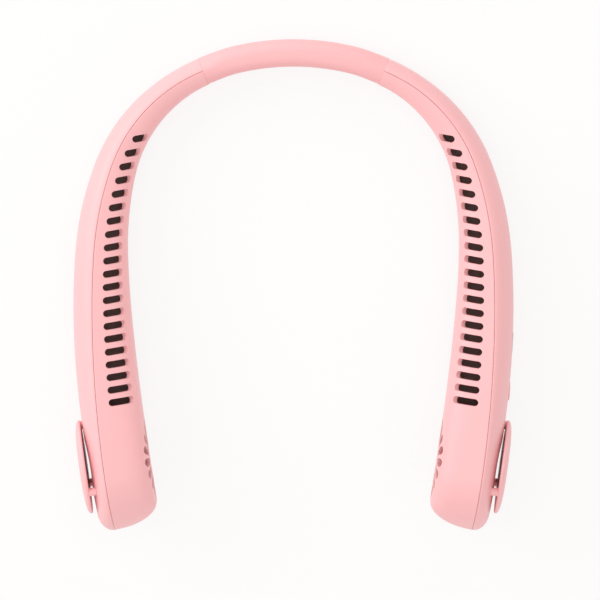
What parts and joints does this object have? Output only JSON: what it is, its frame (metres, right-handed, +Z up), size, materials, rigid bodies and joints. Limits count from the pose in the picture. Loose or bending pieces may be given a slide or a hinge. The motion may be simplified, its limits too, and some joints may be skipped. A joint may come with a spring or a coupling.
{
  "type": "electric neck fan",
  "caption": "Bladeless neck fan: two hollow tapering arms on a flexible band, each with slots, a petal grille and a standing cap over a fan.",
  "frame": {"origin": "middle of the object in plan, on the surface that its underside rests on", "axes": "+Z up from the surface it lies on, +Y from the arms' free ends towards the band, +X towards the arm with the controls"},
  "size_m": [0.1892, 0.2102, 0.0492],
  "materials": {
    "pink_abs": "satin",
    "pink_silicone": "matt",
    "dark_abs": "matt",
    "steel": "bright",
    "copper": "bright",
    "brass": "bright",
    "circuit_board": "gloss",
    "magnet": "matt",
    "cell_wrap": "gloss",
    "lead_sleeve": "matt",
    "lens": "clear"
  },
  "bodies": {
    "band": {"band_center": "pink_silicone", "band_flex_left": "pink_silicone", "band_flex_right": "pink_silicone", "band_spring": "steel", "band_cable": "lead_sleeve"},
    "left_arm": {"left_outer_shell": "pink_abs", "left_inner_shell": "pink_abs", "left_outer_cap": "pink_abs", "left_intake_guard": "dark_abs", "left_cap_screws": "steel", "left_shell_screw": "steel", "left_band_plug": "dark_abs", "left_fan_housing": "dark_abs", "left_fan_cover": "dark_abs", "left_housing_screws": "steel", "left_motor_stator": "copper", "left_motor_board": "circuit_board", "left_shaft_bush": "brass", "left_air_guide": "dark_abs", "left_battery": "cell_wrap", "left_motor_leads": "lead_sleeve"},
    "right_arm": {"right_outer_shell": "pink_abs", "right_inner_shell": "pink_abs", "right_outer_cap": "pink_abs", "right_intake_guard": "dark_abs", "right_cap_screws": "steel", "right_shell_screw": "steel", "right_band_plug": "dark_abs", "right_fan_housing": "dark_abs", "right_fan_cover": "dark_abs", "right_housing_screws": "steel", "right_motor_stator": "copper", "right_motor_board": "circuit_board", "right_shaft_bush": "brass", "right_air_guide": "dark_abs", "right_battery": "cell_wrap", "right_motor_leads": "lead_sleeve", "main_board": "circuit_board", "usb_socket": "steel", "power_switch": "dark_abs", "light_lens": "lens"},
    "left_rotor": {"left_rotor_cup": "steel", "left_rotor_magnet": "magnet", "left_motor_shaft": "steel", "left_impeller": "dark_abs"},
    "right_rotor": {"right_rotor_cup": "steel", "right_rotor_magnet": "magnet", "right_motor_shaft": "steel", "right_impeller": "dark_abs"},
    "button": {"power_button": "pink_abs"}
  },
  "joints": [
    {"name": "left_arm_spread", "type": "hinge", "parent": "band", "child": "left_arm", "pos_m": [-0.0267, 0.09638, 0.009], "axis": [0, 0, -1], "range_deg": [-5, 18], "stiffness_Nm_per_rad": 0.8, "deforming": ["band_flex_left", "band_spring", "band_cable"]},
    {"name": "right_arm_spread", "type": "hinge", "parent": "band", "child": "right_arm", "pos_m": [0.0267, 0.09638, 0.009], "axis": [0, 0, 1], "range_deg": [-5, 18], "stiffness_Nm_per_rad": 0.8, "deforming": ["band_flex_right", "band_spring", "band_cable"]},
    {"name": "left_impeller_spin", "type": "hinge", "parent": "left_arm", "child": "left_rotor", "pos_m": [-0.0814, -0.07689, 0.02445], "axis": [-0.9902, -0.1395, 0], "continuous": true},
    {"name": "right_impeller_spin", "type": "hinge", "parent": "right_arm", "child": "right_rotor", "pos_m": [0.0814, -0.07689, 0.02445], "axis": [0.9902, -0.1395, 0], "continuous": true},
    {"name": "power_button_press", "type": "slide", "parent": "right_arm", "child": "button", "axis": [-0.9983, 0.0584, 0], "range_m": [0, 0.0005], "stiffness_N_per_m": 300}
  ]
}
